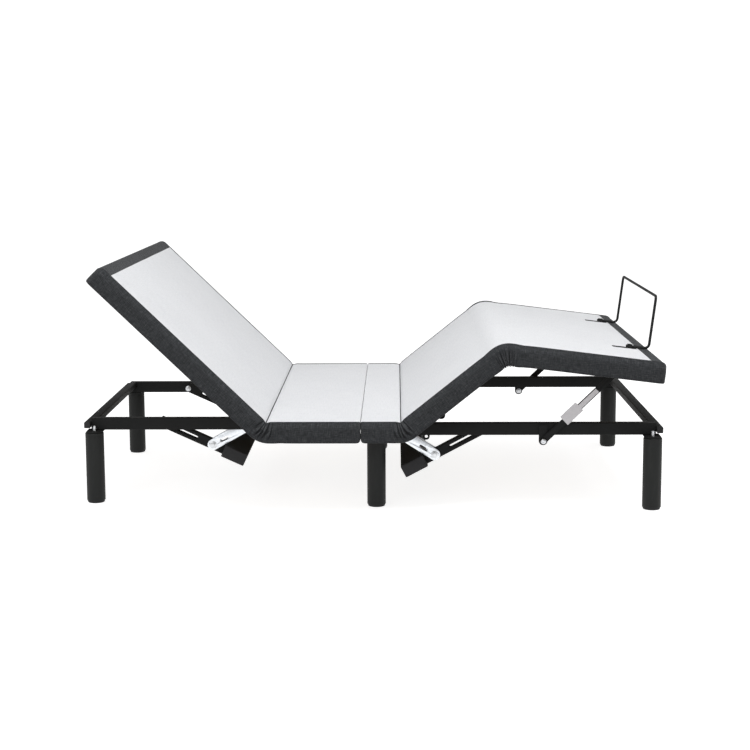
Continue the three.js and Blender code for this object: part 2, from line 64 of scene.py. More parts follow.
# ---- the deck ----
HEAD_HINGE = Vector(JOINTS["head_lift"]["pos_m"])
THIGH_HINGE = Vector(JOINTS["thigh_lift"]["pos_m"])
KNEE_HINGE = Vector(JOINTS["knee_fold"]["pos_m"])
HEAD_ANGLE = math.radians(-JOINTS["head_lift"]["range_deg"][0])
THIGH_ANGLE = math.radians(-JOINTS["thigh_lift"]["range_deg"][0])
CALF_DROP = math.radians(7.1)
HINGE_Z = HEAD_HINGE.z
HEAD_LENGTH = 714 * MM
CALF_LENGTH = 504 * MM
KNEE_FLAT_X = THIGH_HINGE.x + (KNEE_HINGE - THIGH_HINGE).length
DECK_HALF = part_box("seat_pad")[1].y
DECK_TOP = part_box("seat_pad")[1].z
SKIRT_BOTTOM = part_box("seat_pad")[0].z
SEAT_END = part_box("seat_pad")[1].x
FRONT_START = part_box("front_seat_pad")[0].x
HEAD_START = HEAD_HINGE.x - HEAD_LENGTH
FOOT_OVERHANG = 5 * MM
CALF_END = KNEE_FLAT_X + CALF_LENGTH + FOOT_OVERHANG
MID_THIGH = (THIGH_HINGE.x + KNEE_FLAT_X) / 2

# Each fold takes up this much cloth on either side of its hinge: at the top, in the middle and at the hem.
HIP_BEND = (26 * MM, 36 * MM, 58 * MM)
KNEE_BEND = (66 * MM, 56 * MM, 56 * MM)

# ---- the upholstery's section ----
EDGE = 22 * MM
HEM = 5 * MM
HEM_SAG = 4 * MM
SPLIT_CORNER = 12 * MM
SKIRT_THICKNESS = 22 * MM
BOARD_CLEARANCE = 0.3 * MM
SLAB_UNDERSIDE = HINGE_Z + 12.3 * MM
SPLIT_LAP = 1.0 * MM
SPLIT_UNDERSIDE = HINGE_Z - 5 * MM
SPLIT_TOP = 4 * MM
SIDE_BORDER = 13 * MM
PIPING = 5.5 * MM
PIPING_WIDTH = 3 * MM
CROWN = 0.6 * MM
HIP_CREASE = 2.4 * MM
KNEE_SINK = 6.5 * MM
GATHER_HEIGHT = 5.2 * MM
HIP_HEM_LIFT = 5 * MM
KNEE_HEM_DROOP = 9 * MM
KNEE_SCALLOP = 3 * MM
HEAD_BAND = 45 * MM
FOOT_BAND = 49 * MM
END_BULGE = 6 * MM
SEAM_GAP = 1.5 * MM
PANEL_ROLL = 3 * MM
PANEL_LIFT = 0.5 * MM
SIDE_ROWS = 12
TOP_COLUMNS = 72
END_COLUMNS = 40
BULLNOSE_TURNS = (0, 18, 34, 44, 50, 56, 62, 68, 76, 90)

# ---- the frame's hardware ----
LEG_RADIUS = 30 * MM
PLATE_STEPS = 24
LEG_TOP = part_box("leg_middle_right")[1].z
PLATE_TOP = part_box("leg_plate_middle_right")[1].z
HEAD_TRUSS = {"x": -519.5 * MM, "z": 180 * MM, "arm": (-1, 24.5), "hanger": (1, 29.3), "tilt": -24.5}
THIGH_TRUSS = {"x": 207.5 * MM, "z": 167 * MM, "arm": (1, 28.0), "hanger": (-1, 32.7), "tilt": 28.0}
ARM_LENGTH = 190 * MM
HANGER_LENGTH = 150 * MM
LINK_FOOT = Vector(JOINTS["foot_link_swing_right"]["pos_m"])
LINK_HEAD = Vector((793.16 * MM, 0, 450.07 * MM))


# ---- shader maths ----
class Wire:
    """One output of a shader node, with Python's arithmetic."""

    def __init__(self, finish, socket):
        self.finish = finish
        self.socket = socket

    def _math(self, operation, first, second=0.0):
        return self.finish.node("ShaderNodeMath", {"operation": operation}, {0: first, 1: second})

    def __add__(self, other):
        return self._math("ADD", self, other)

    def __radd__(self, other):
        return self._math("ADD", other, self)

    def __sub__(self, other):
        return self._math("SUBTRACT", self, other)

    def __rsub__(self, other):
        return self._math("SUBTRACT", other, self)

    def __mul__(self, other):
        return self._math("MULTIPLY", self, other)

    def __rmul__(self, other):
        return self._math("MULTIPLY", other, self)

    def __pow__(self, other):
        return self._math("POWER", self, other)

    def sine(self):
        return self._math("SINE", self)

    def absolute(self):
        return self._math("ABSOLUTE", self)

    def clamped(self):
        return self._math("MINIMUM", self._math("MAXIMUM", self, 0.0), 1.0)


class Finish:
    """A material built round one Principled shader."""

    def __init__(self, name, **constants):
        self.material = bpy.data.materials.new(name)
        self.material.use_nodes = True
        self.tree = self.material.node_tree
        self.shader = self.tree.nodes["Principled BSDF"]
        for socket, value in constants.items():
            self.shader.inputs[socket.replace("_", " ")].default_value = value

    def node(self, kind, settings=None, inputs=None, output=0):
        """Adds a node: its settings first, then its sockets' values or links. Returns one output."""
        made = self.tree.nodes.new(kind)
        for setting, value in (settings or {}).items():
            if setting == "stops":
                self._set_stops(made.color_ramp.elements, value)
            else:
                setattr(made, setting, value)
        for socket, value in (inputs or {}).items():
            if isinstance(value, Wire):
                self.tree.links.new(value.socket, made.inputs[socket])
            else:
                made.inputs[socket].default_value = value
        return Wire(self, made.outputs[output])

    def _set_stops(self, elements, stops):
        while len(elements) < len(stops):
            elements.new(0.5)
        for element, (position, colour) in zip(elements, stops):
            element.position = position
            element.color = (*colour, 1)

    def place(self):
        """The point on the surface, in the object's own axes."""
        return self.node("ShaderNodeTexCoord", {}, {}, "Object")

    def cloth(self):
        """The point on the unrolled cloth, in metres: along the deck, then round its section."""
        return self.node("ShaderNodeAttribute", {"attribute_name": "cloth"}, {}, "Vector")

    def stretch(self, vector, scale):
        return self.node("ShaderNodeMapping", {"vector_type": "POINT"}, {"Vector": vector, "Scale": scale})

    def noise(self, vector, scale, detail=3.0, roughness=0.5):
        sizes = {"Vector": vector, "Scale": scale, "Detail": detail, "Roughness": roughness}
        return self.node("ShaderNodeTexNoise", {}, sizes, "Fac")

    def cells(self, vector, scale):
        """A number for each cell of a scattered pattern, 0 to 1."""
        colour = self.node("ShaderNodeTexVoronoi", {}, {"Vector": vector, "Scale": scale}, "Color")
        return self.axis(colour, "X")

    def axis(self, vector, name):
        return self.node("ShaderNodeSeparateXYZ", {}, {"Vector": vector}, name)

    def blend(self, amount, first, second):
        colours = [value if isinstance(value, Wire) else (*value, 1) for value in (first, second)]
        sockets = {0: amount, 6: colours[0], 7: colours[1]}
        return self.node("ShaderNodeMix", {"data_type": "RGBA"}, sockets, 2)

    def ramp(self, amount, stops):
        return self.node("ShaderNodeValToRGB", {"stops": stops}, {"Fac": amount})

    def drive(self, socket, wire):
        self.tree.links.new(wire.socket, self.shader.inputs[socket])

    def bump(self, height, distance):
        """Raises the surface by height times distance, in metres."""
        self.drive("Normal", self.node("ShaderNodeBump", {}, {"Height": height, "Distance": distance}))


# ---- finishes ----
def plain_weave(finish, cloth, pitch):
    """How high a plain weave stands, from 0 in its gaps to 1 on a thread's back."""
    along = (finish.axis(cloth, "X") * (math.pi / pitch)).sine()
    across = (finish.axis(cloth, "Y") * (math.pi / pitch)).sine()
    over = (along * across * 4 + 0.5).clamped()
    return along.absolute() ** 0.6 * over + across.absolute() ** 0.6 * (1 - over)


def uneven_yarn(finish, cloth, length, width):
    """Noise drawn out along the threads both ways, 0 to 1."""
    warp = finish.noise(finish.stretch(cloth, (1 / length, 1 / width, 1)), 1.0, 4.0, 0.6)
    weft = finish.noise(finish.stretch(cloth, (1 / width, 1 / length, 1)), 1.0, 4.0, 0.6)
    return (warp + weft) * 0.5


def charcoal_linen():
    """Heathered linen-look cloth: crossing yarns of near black and mid grey, dull, with a faint sheen. The
    skirt's pleats get painted shade in their valleys and a painted highlight on their ridges.
    """
    finish = Finish("charcoal_linen", Roughness=0.95, Sheen_Weight=0.08, Sheen_Roughness=0.5,
                    Specular_IOR_Level=0.15)
    cloth = finish.cloth()
    # The fold attribute paints shade into the pleats' valleys and a highlight onto their ridges.
    fold = finish.node("ShaderNodeAttribute", {"attribute_name": "fold"}, {}, "Fac")
    valley = (fold * -2.6).clamped()
    ridge = (fold * 0.8).clamped()
    yarn = uneven_yarn(finish, cloth, 24 * MM, 2.4 * MM)
    slub = uneven_yarn(finish, cloth, 10 * MM, 1.4 * MM)
    patch = finish.noise(cloth, 7.0, 2.0)
    weave = plain_weave(finish, cloth, 1.4 * MM)
    # ridge adds a painted highlight on the pleats' ridges to the yarn tones.
    shade = ((yarn * 0.6 + slub * 0.4 - 0.5) * 3.6 + 0.5 + ridge * 0.3).clamped()
    tone = finish.ramp(shade, [
        (0.0, (0.014, 0.015, 0.017)), (0.45, (0.036, 0.038, 0.041)),
        (0.8, (0.070, 0.073, 0.077)), (1.0, (0.14, 0.145, 0.152))])
    # valley adds painted shade in the pleats' valleys to the darker weave gaps and patches.
    gaps = ((1 - weave) * 0.45 + patch * 0.2 + valley * 1.2).clamped()
    finish.drive("Base Color", finish.blend(gaps, tone, (0.009, 0.010, 0.011)))
    finish.bump(weave * 0.7 + yarn * 0.9 + slub * 0.4, 0.5 * MM)
    return finish.material


def pale_linen():
    """Pale grey close-woven top cloth with a little uneven yarn."""
    finish = Finish("pale_linen", Roughness=0.86, Sheen_Weight=0.08, Sheen_Roughness=0.4)
    cloth = finish.cloth()
    yarn = uneven_yarn(finish, cloth, 60 * MM, 2.6 * MM)
    patch = finish.noise(cloth, 3.5, 3.0)
    weave = plain_weave(finish, cloth, 1.2 * MM)
    tone = ((yarn - 0.5) * 3.0 + 0.5).clamped() * 0.55 + patch * 0.25 + weave * 0.2
    finish.drive("Base Color", finish.ramp(tone.clamped(), [
        (0.0, (0.46, 0.47, 0.49)), (0.45, (0.59, 0.597, 0.613)), (1.0, (0.69, 0.695, 0.708))]))
    finish.bump(weave * 0.6 + yarn * 0.6, 0.3 * MM)
    return finish.material


def powder_coat():
    """Satin black powder coat: fine orange peel, slight cloudiness and rubbed flats."""
    finish = Finish("satin_powder_coat", Specular_IOR_Level=0.06)
    place = finish.place()
    peel = finish.noise(place, 900.0, 2.0)
    cloud = finish.noise(place, 12.0, 4.0)
    rubbed = finish.noise(finish.stretch(place, (14, 60, 60)), 3.0, 6.0, 0.7)
    rubbed = ((rubbed - 0.6) * 6).clamped()
    finish.drive("Base Color", finish.blend(
        cloud * 0.35 + rubbed * 0.35, (0.016, 0.0165, 0.0165), (0.042, 0.043, 0.043)))
    finish.drive("Roughness", cloud * 0.16 + rubbed * 0.12 + 0.5)
    finish.bump(peel, 0.12 * MM)
    return finish.material


def leg_paint():
    """Matte black legs with a fine grain and faint handling marks."""
    finish = Finish("matte_leg_paint", Specular_IOR_Level=0.2)
    place = finish.place()
    grain = finish.noise(place, 1400.0, 2.0)
    handled = finish.noise(finish.stretch(place, (40, 40, 6)), 1.0, 6.0, 0.7)
    handled = ((handled - 0.55) * 4).clamped()
    cloud = finish.noise(place, 9.0, 3.0)
    finish.drive("Base Color", finish.blend(
        cloud * 0.5 + handled * 0.4, (0.011, 0.012, 0.0115), (0.027, 0.028, 0.0275)))
    finish.drive("Roughness", cloud * 0.15 - handled * 0.08 + 0.5)
    finish.bump(grain, 0.1 * MM)
    return finish.material


def zinc_plate():
    """Bright zinc on pressed steel: pale, with a drifting spangle and rolled streaks."""
    finish = Finish("bright_zinc", Metallic=0.85)
    place = finish.place()
    spangle = finish.cells(place, 130.0)
    streak = finish.noise(finish.stretch(place, (30, 260, 260)), 1.0, 4.0)
    finish.drive("Base Color", finish.blend(
        spangle * 0.5 + streak * 0.4, (0.66, 0.69, 0.73), (0.90, 0.92, 0.95)))
    finish.drive("Roughness", spangle * 0.10 + streak * 0.12 + 0.22)
    finish.bump(streak, 0.08 * MM)
    return finish.material


def bolt_steel():
    """Turned and plated bolt steel, a little grimy."""
    finish = Finish("bolt_steel", Metallic=1.0)
    place = finish.place()
    turned = finish.noise(finish.stretch(place, (900, 60, 900)), 1.0, 2.0)
    grime = finish.noise(place, 160.0, 4.0)
    finish.drive("Base Color", finish.blend(grime, (0.46, 0.47, 0.49), (0.78, 0.80, 0.82)))
    finish.drive("Roughness", turned * 0.15 + grime * 0.2 + 0.18)
    finish.bump(turned, 0.05 * MM)
    return finish.material


def particle_board():
    """Pressed wood chips: flakes of light and dark wood under a thin resin."""
    finish = Finish("particle_board", Specular_IOR_Level=0.3)
    place = finish.place()
    chip = finish.cells(finish.stretch(place, (1, 1.7, 1)), 210.0)
    dust = finish.noise(place, 420.0, 4.0)
    finish.drive("Base Color", finish.ramp((chip * 0.7 + dust * 0.3).clamped(), [
        (0.0, (0.16, 0.095, 0.045)), (0.4, (0.34, 0.23, 0.12)),
        (0.75, (0.46, 0.33, 0.19)), (1.0, (0.58, 0.45, 0.28))]))
    finish.drive("Roughness", dust * 0.2 + 0.65)
    finish.bump(chip * 0.5 + dust * 0.5, 0.3 * MM)
    return finish.material


def motor_casing():
    """Moulded black nylon with a spark-eroded grain."""
    finish = Finish("motor_casing", Specular_IOR_Level=0.25)
    place = finish.place()
    grain = finish.noise(place, 1100.0, 3.0)
    flow = finish.noise(place, 22.0, 3.0)
    finish.drive("Base Color", finish.blend(flow, (0.011, 0.011, 0.012), (0.026, 0.026, 0.028)))
    finish.drive("Roughness", flow * 0.15 + grain * 0.1 + 0.42)
    finish.bump(grain, 0.15 * MM)
    return finish.material


def tag_card():
    """A blank pale self-adhesive tag, slightly creased."""
    finish = Finish("blank_tag", Coat_Weight=0.15, Coat_Roughness=0.35)
    place = finish.place()
    crease = finish.noise(place, 60.0, 5.0, 0.6)
    fibre = finish.noise(place, 240.0, 2.0)
    finish.drive("Base Color", finish.blend(
        crease * 0.5 + fibre * 0.2, (0.86, 0.84, 0.86), (0.66, 0.64, 0.67)))
    finish.drive("Roughness", crease * 0.2 + 0.4)
    finish.bump(crease, 0.4 * MM)
    return finish.material


def studio_paper():
    """Seamless white studio paper."""
    finish = Finish("studio_paper", Roughness=0.9, Specular_IOR_Level=0.1, Emission_Strength=0.82,
                    Emission_Color=(1, 1, 1, 1))
    tooth = finish.noise(finish.place(), 3.0, 3.0)
    finish.drive("Base Color", finish.blend(tooth, (0.52, 0.52, 0.52), (0.56, 0.56, 0.56)))
    return finish.material


def studio_wall():
    """A lit white wall, a touch uneven."""
    finish = Finish("studio_wall", Roughness=1.0, Specular_IOR_Level=0.0, Emission_Strength=1.1)
    wash = finish.noise(finish.place(), 0.1, 2.0)
    finish.drive("Base Color", finish.blend(wash, (0.02, 0.02, 0.02), (0.03, 0.03, 0.03)))
    finish.drive("Emission Color", finish.blend(wash, (1.0, 1.0, 1.0), (0.98, 0.98, 0.98)))
    return finish.material


FINISHES = {
    "black_steel": powder_coat(),
    "leg_black": leg_paint(),
    "zinc": zinc_plate(),
    "bolt": bolt_steel(),
    "board": particle_board(),
    "dark_linen": charcoal_linen(),
    "pale_linen": pale_linen(),
    "motor_plastic": motor_casing(),
    "tag_paper": tag_card(),
}


# ---- making pieces ----
def new_piece(name, vertices, faces, finish, slot, sharp_angle=45):
    """A smooth-shaded mesh piece with outward normals, sharp only past the given angle."""
    mesh = bpy.data.meshes.new(name)
    mesh.from_pydata([tuple(vertex) for vertex in vertices], [], faces)
    work = bmesh.new()
    work.from_mesh(mesh)
    bmesh.ops.recalc_face_normals(work, faces=work.faces)
    work.to_mesh(mesh)
    work.free()
    mesh.materials.append(FINISHES[finish])
    mesh.shade_smooth()
    mesh.set_sharp_from_angle(angle=math.radians(sharp_angle))
    piece = bpy.data.objects.new(name, mesh)
    bpy.context.collection.objects.link(piece)
    return piece


def rings_to_faces(ring_count, around, close_ends=True):
    """Faces of a skin over rings of points, each ring closed on itself."""
    faces = []
    for ring in range(ring_count - 1):
        for point in range(around):
            following = (point + 1) % around
            faces.append([ring * around + point, ring * around + following,
                          (ring + 1) * around + following, (ring + 1) * around + point])
    if close_ends:
        faces.append(list(range(around)))
        faces.append([(ring_count - 1) * around + point for point in range(around)])
    return faces


# ---- upholstery ----
def smoothstep(share):
    share = np.clip(share, 0, 1)
    return share * share * (3 - 2 * share)


def turned(points, share, hinge_x, angle):
    """Points turned about a hinge line across the bed, each by its own share of the angle."""
    turn = share * angle
    x = points[:, 0] - hinge_x
    z = points[:, 2] - HINGE_Z
    result = points.copy()
    result[:, 0] = hinge_x + x * np.cos(turn) + z * np.sin(turn)
    result[:, 2] = HINGE_Z - x * np.sin(turn) + z * np.cos(turn)
    return result


def raised(flat):
    """Takes points of the flat deck to where they are with the deck raised."""
    x = flat[:, 0]
    depth = np.clip((DECK_TOP - flat[:, 2]) / (DECK_TOP - SKIRT_BOTTOM), 0, 1)
    hip_bend = HIP_BEND[0] + (HIP_BEND[2] - HIP_BEND[0]) * depth
    knee_bend = KNEE_BEND[0] + (KNEE_BEND[2] - KNEE_BEND[0]) * depth
    knee = smoothstep((x - KNEE_FLAT_X + knee_bend) / (2 * knee_bend))
    thigh = smoothstep((x - THIGH_HINGE.x + hip_bend) / (2 * hip_bend))
    head = smoothstep((HEAD_HINGE.x + hip_bend - x) / (2 * hip_bend))
    points = turned(flat, knee, KNEE_FLAT_X, THIGH_ANGLE + CALF_DROP)
    points = turned(points, thigh, THIGH_HINGE.x, -THIGH_ANGLE)
    return turned(points, head, HEAD_HINGE.x, HEAD_ANGLE)


def stations(start, end, rounding, extra=(), coarse=24 * MM, fine=1.6 * MM, reach=66 * MM):
    """Places along the bed for the cross-sections: closest at the ends and near the hinges."""
    steps = [rounding * (1 - math.cos(math.radians(turn))) for turn in (0, 18, 36, 54, 72, 90)]
    places = {round(start + step, 7) for step in steps} | {round(end - step, 7) for step in steps}
    places |= {round(place, 7) for place in extra}
    x = start + rounding
    while x < end - rounding:
        places.add(round(x, 7))
        near = min(abs(x - hinge) for hinge in (HEAD_HINGE.x, THIGH_HINGE.x, KNEE_FLAT_X))
        x += fine if near < reach else coarse
    return sorted(places)


def step_in(distance, radius):
    """How far a rounded outline steps in at this distance from its end."""
    if distance >= radius:
        return 0.0
    return radius - math.sqrt(max(radius ** 2 - (radius - distance) ** 2, 0))


def near(x, place, reach):
    """1 at the place, falling away smoothly over the reach."""
    return math.exp(-((x - place) / reach) ** 2)


def crease(x):
    """The top sinks along the two hinges that close when the deck rises, and flattens over the knee."""
    hips = near(x, HEAD_HINGE.x, 5 * MM) + near(x, THIGH_HINGE.x, 5 * MM)
    return HIP_CREASE * hips + KNEE_SINK * near(x, KNEE_FLAT_X, 55 * MM)


def pleats(x, middle, half, pitch, lean):
    """Crushed pleats near a hinge, -1 to 1: ridges with sharp valleys, dying away over half the width."""
    share = max(1 - ((x - middle) / half) ** 2, 0) ** 0.6
    place = (x - middle + lean) / pitch + 0.22 * math.sin(2.1 * (x - middle) / pitch + 1)
    return share * (2 * abs(math.sin(math.pi * place)) ** 1.2 - 1)


def knee_pleats(x, depth, side):
    return pleats(x, KNEE_FLAT_X + 4 * MM, 40 * MM, 9.5 * MM, 3 * MM * side + 2 * MM * depth)


def gathers(x, depth, side):
    """The pleats' height at x, from -1 in a valley to 1 on a ridge, depth below the top edge, 0 to 1."""
    upper = near(depth, 0.32, 0.34)
    lower = near(depth, 0.95, 0.45)
    head = pleats(x, HEAD_HINGE.x + 2 * MM, 30 * MM, 12 * MM, 3 * MM * side + 14 * MM * depth)
    thigh = pleats(x, THIGH_HINGE.x - 2 * MM, 28 * MM, 11.5 * MM, 3 * MM * side - 14 * MM * depth)
    return upper * (head + thigh) + lower * knee_pleats(x, depth, side)


def skirt_relief(x, depth, side):
    """How far the skirt's cloth stands out at x, depth below the top edge, 0 to 1."""
    slack = 0.8 * MM * math.sin(x * 23 + side) * math.sin(depth * math.pi)
    return GATHER_HEIGHT * gathers(x, depth, side) + slack


def hem_lift(x, side):
    """The hem is drawn tight across the hip folds, and hangs in scallops under the knee."""
    tight = near(x, HEAD_HINGE.x, 42 * MM) + near(x, THIGH_HINGE.x, 42 * MM)
    drooping = KNEE_HEM_DROOP * near(x, KNEE_FLAT_X, 48 * MM)
    return HIP_HEM_LIFT * tight - drooping + KNEE_SCALLOP * knee_pleats(x, 1, side)


def bullnose_drop(distance):
    """How far the cover's rounded edge has fallen at this distance in from the side."""
    return step_in(distance, EDGE)


def piping(distance):
    """The welt that stands up just outside the pale cloth."""
    return PIPING * near(distance, SIDE_BORDER - PIPING_WIDTH, PIPING_WIDTH)


class Cover:
    """One piece of the charcoal cover, drawn flat: its ends, and what is at each end."""

    def __init__(self, name, start, end, start_kind, end_kind):
        self.name = name
        self.start = start
        self.end = end
        self.start_kind = start_kind
        self.end_kind = end_kind

    def nearest_end(self, x):
        """Distance to the nearer end, and its kind: skirt, split or joined."""
        if x - self.start < self.end - x:
            return x - self.start, self.start_kind
        return self.end - x, self.end_kind

    def places(self):
        extra = []
        for end, inward, kind in ((self.start, 1, self.start_kind), (self.end, -1, self.end_kind)):
            depth = {"skirt": SKIRT_THICKNESS, "split": SPLIT_LAP - BOARD_CLEARANCE, "joined": 0}[kind]
            extra += [end + inward * depth, end + inward * (depth + 0.2 * MM)]
        return stations(self.start, self.end, EDGE, extra)

    def section(self, x):
        """A closed cross-section at x, as the points of its outline."""
        distance, kind = self.nearest_end(x)
        joined = kind == "joined"
        inset = 0.0 if joined else step_in(distance, EDGE if kind == "skirt" else SPLIT_TOP)
        drop = step_in(distance, SPLIT_TOP) if kind == "split" else inset
        lift = 0.0 if joined else step_in(distance, HEM if kind == "skirt" else SPLIT_CORNER)
        half = DECK_HALF - inset
        top = DECK_TOP - drop
        bottom = SKIRT_BOTTOM - HEM_SAG + lift
        underside = SLAB_UNDERSIDE
        if kind == "skirt" and distance <= SKIRT_THICKNESS + 1e-6:
            underside = bottom + 0.2 * MM
        if kind == "split" and distance <= SPLIT_LAP - BOARD_CLEARANCE + 1e-6:
            underside = SPLIT_UNDERSIDE
        sides = [self.side(x, side, half, top, bottom) for side in (-1, 1)]
        reach = half - EDGE
        middle = [(y, top + crown(y) - crease(x)) for y in np.linspace(-reach, reach, TOP_COLUMNS)[1:-1]]
        inner = DECK_HALF - SKIRT_THICKNESS
        under = [(inner, bottom), (inner, underside), (-inner, underside), (-inner, bottom)]
        return sides[0] + middle + sides[1][::-1] + under

    def side(self, x, side, half, top, bottom):
        """The skirt from its hem up to where the top begins."""
        edge = []
        scallop = hem_lift(x, side)
        for turn in (90, 45, 0):
            bend = math.radians(turn)
            edge.append((half - HEM * (1 - math.cos(bend)), bottom + HEM * (1 - math.sin(bend)) + scallop))
        rise = top - bottom - EDGE - HEM
        for row in range(1, SIDE_ROWS):
            share = row / SIDE_ROWS
            height = bottom + HEM + rise * share + scallop * (1 - share) ** 2
            edge.append((half + skirt_relief(x, 1 - share, side), height))
        for turn in BULLNOSE_TURNS:
            bend = math.radians(turn)
            inward = EDGE * (1 - math.cos(bend))
            lowered = crease(x) * (turn / 90) - piping(inward) - crown(half - inward) * (turn / 90)
            edge.append((half - inward, top - EDGE + EDGE * math.sin(bend) - lowered))
        return [(side * y, z) for y, z in edge]

    def skirt_end(self, x, outward):
        """The skirt across one end of the deck, swelling a little, as a grid of points on the flat deck."""
        left = self.side(x, -1, DECK_HALF - EDGE, DECK_TOP - EDGE, SKIRT_BOTTOM - HEM_SAG + HEM)
        low = left[0][1]
        high = left[-1][1]
        grid = []
        for y_side, z in left:
            height = (z - low) / (high - low)
            for across in np.linspace(-1, 1, END_COLUMNS):
                swell = END_BULGE * math.sin(math.pi * height) * (1 - across ** 8)
                grid.append((x + outward * swell, -y_side * across, z))
        return grid, len(left)

    def make(self):
        return lofted(self.name, self.places(), self.section, "dark_linen", self)


def crown(y):
    """The top swells a little across the bed."""
    return CROWN * (1 - (y / DECK_HALF) ** 8)


def fold_depth_for_painted_shade(x, y, z):
    """How deep in a pleat of the skirt this point of the flat cover lies: -1 in a valley, 1 on a ridge. The
    charcoal cloth uses it for painted shade in the valleys and a painted highlight on the ridges.
    """
    if abs(y) < DECK_HALF - EDGE:
        return 0.0
    return gathers(x, (DECK_TOP - z) / (DECK_TOP - SKIRT_BOTTOM), math.copysign(1, y))


def lofted(name, places, section, finish, cover=None):
    """Skins cross-sections of the flat deck, raises them, and keeps where each point lay on the cloth.

    A cover's skirted ends get a skin of their own, whose cloth runs across the bed.
    """
    sections = [section(x) for x in places]
    around = len(sections[0])
    flat = np.array([(x, y, z) for x, outline in zip(places, sections) for y, z in outline])
    cloth = []
    for x, outline in zip(places, sections):
        run = 0.0
        previous = outline[0]
        for point in outline:
            run += math.dist(previous, point)
            cloth.append((x, run, 0.0))
            previous = point
    faces = rings_to_faces(len(places), around, cover is None)
    if cover:
        ends = ((0, places[0], -1, cover.start_kind), (len(places) - 1, places[-1], 1, cover.end_kind))
        for ring, x, outward, kind in ends:
            if kind != "skirt":
                faces.append(list(range(ring * around, (ring + 1) * around)))
                continue
            grid, rows = cover.skirt_end(x, outward)
            first = len(flat)
            flat = np.concatenate([flat, np.array(grid)])
            cloth += [(y, z, 0.0) for _, y, z in grid]
            for row in range(rows - 1):
                for column in range(END_COLUMNS - 1):
                    corner = first + row * END_COLUMNS + column
                    faces.append([corner, corner + 1, corner + END_COLUMNS + 1, corner + END_COLUMNS])
    piece = new_piece(name, raised(flat), faces, finish, finish, 55)
    attribute = piece.data.attributes.new("cloth", "FLOAT_VECTOR", "POINT")
    attribute.data.foreach_set("vector", np.array(cloth, np.float32).ravel())
    # The fold attribute carries the cover's painted pleat shade and painted ridge highlight.
    if cover:
        folds = piece.data.attributes.new("fold", "FLOAT", "POINT")
        folds.data.foreach_set("value", np.array([fold_depth_for_painted_shade(*point) for point in flat], np.float32))
    return piece


class Panel:
    """The pale top cloth over one part of the deck: a thin layer whose edges roll down into the cover."""

    def __init__(self, name, start, end, start_joined=False, end_joined=False):
        self.name = name
        self.start = start
        self.end = end
        self.start_joined = start_joined
        self.end_joined = end_joined
        self.half = DECK_HALF - SIDE_BORDER

    def section(self, x):
        from_start = 1.0 if self.start_joined else x - self.start
        from_end = 1.0 if self.end_joined else self.end - x
        end_drop = step_in(min(from_start, from_end), PANEL_ROLL)
        rolled = [PANEL_ROLL * (1 - math.cos(math.radians(turn))) for turn in (0, 30, 60, 90)]
        edge = [-self.half + step for step in rolled] + [EDGE - DECK_HALF - 3 * MM, EDGE - DECK_HALF]
        inside = DECK_HALF - EDGE
        across = edge + list(np.linspace(-inside, inside, TOP_COLUMNS)[1:-1]) + [-y for y in reversed(edge)]
        outline = []
        for y in across:
            drop = max(step_in(self.half - abs(y), PANEL_ROLL), end_drop)
            lowered = 0.9 * drop + bullnose_drop(DECK_HALF - abs(y)) + crease(x)
            outline.append((y, DECK_TOP + crown(y) + PANEL_LIFT - lowered + self.unevenness(x, y)))
        under = DECK_TOP - 6 * MM - crease(x)
        return outline + [(self.half, under), (-self.half, under)]

    def unevenness(self, x, y):
        """Very slight slackness in the stretched cloth."""
        return 0.25 * MM * math.sin(x * 17 + 2 * math.sin(y * 5)) * math.sin(y * 9 + x * 3)

    def make(self):
        return lofted(self.name, stations(self.start, self.end, PANEL_ROLL), self.section, "pale_linen")


def upholster():
    split_back = SEAT_END + SPLIT_LAP
    split_front = FRONT_START - SPLIT_LAP
    head_pieces = [
        Cover("head_cover", HEAD_START, split_back, "skirt", "split").make(),
        Panel("head_panel", HEAD_START + HEAD_BAND, HEAD_HINGE.x - SEAM_GAP).make(),
        Panel("seat_panel", HEAD_HINGE.x + SEAM_GAP, split_back).make(),
    ]
    thigh_pieces = [
        Cover("thigh_cover", split_front, MID_THIGH, "split", "joined").make(),
        Panel("front_seat_panel", split_front, THIGH_HINGE.x - SEAM_GAP).make(),
        Panel("thigh_panel", THIGH_HINGE.x + SEAM_GAP, MID_THIGH, end_joined=True).make(),
    ]
    calf_pieces = [
        Cover("calf_cover", MID_THIGH, CALF_END, "joined", "skirt").make(),
        Panel("calf_panel", MID_THIGH, CALF_END - FOOT_BAND, start_joined=True).make(),
    ]
    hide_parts("head_pad", "seat_pad")
    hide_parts("front_seat_pad", "thigh_pad")
    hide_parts("calf_pad")
    for piece in head_pieces:
        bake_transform(piece)
    for piece in thigh_pieces:
        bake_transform(piece)
    for piece in calf_pieces:
        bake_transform(piece)


upholster()


# ---- hardware ----
def facing(axis):
    """A turn that takes +Z to the axis."""
    return Vector((0, 0, 1)).rotation_difference(Vector(axis)).to_matrix()


def lathe(profile, place, axis=(0, 0, 1), sides=48, spin=0.0):
    """Points and faces of a turned shape. profile is (radius, height) up its axis."""
    turn = facing(axis)
    points = []
    for radius, height in profile:
        for step in range(sides):
            angle = 2 * math.pi * step / sides + spin
            local = Vector((radius * math.cos(angle), radius * math.sin(angle), height))
            points.append(Vector(place) + turn @ local)
    return points, rings_to_faces(len(profile), sides)


def merged(*shapes):
    points = []
    faces = []
    for shape_points, shape_faces in shapes:
        base = len(points)
        points += shape_points
        faces += [[base + corner for corner in face] for face in shape_faces]
    return points, faces


def hex_bolt(place, axis, width=13 * MM):
    """A washer and a chamfered hexagon head with a slightly domed top."""
    flat = width / 2
    corner = flat / math.cos(math.pi / 6)
    washer = [(0.9 * width, 0), (0.92 * width, 0.3 * MM), (0.92 * width, 1.3 * MM),
              (0.88 * width, 1.6 * MM)]
    head = [(corner, 1.6 * MM), (corner, 6.4 * MM), (0.9 * corner, 7.4 * MM), (0.4 * corner, 7.8 * MM)]
    return merged(lathe(washer, place, axis), lathe(head, place, axis, 6, 0.3))


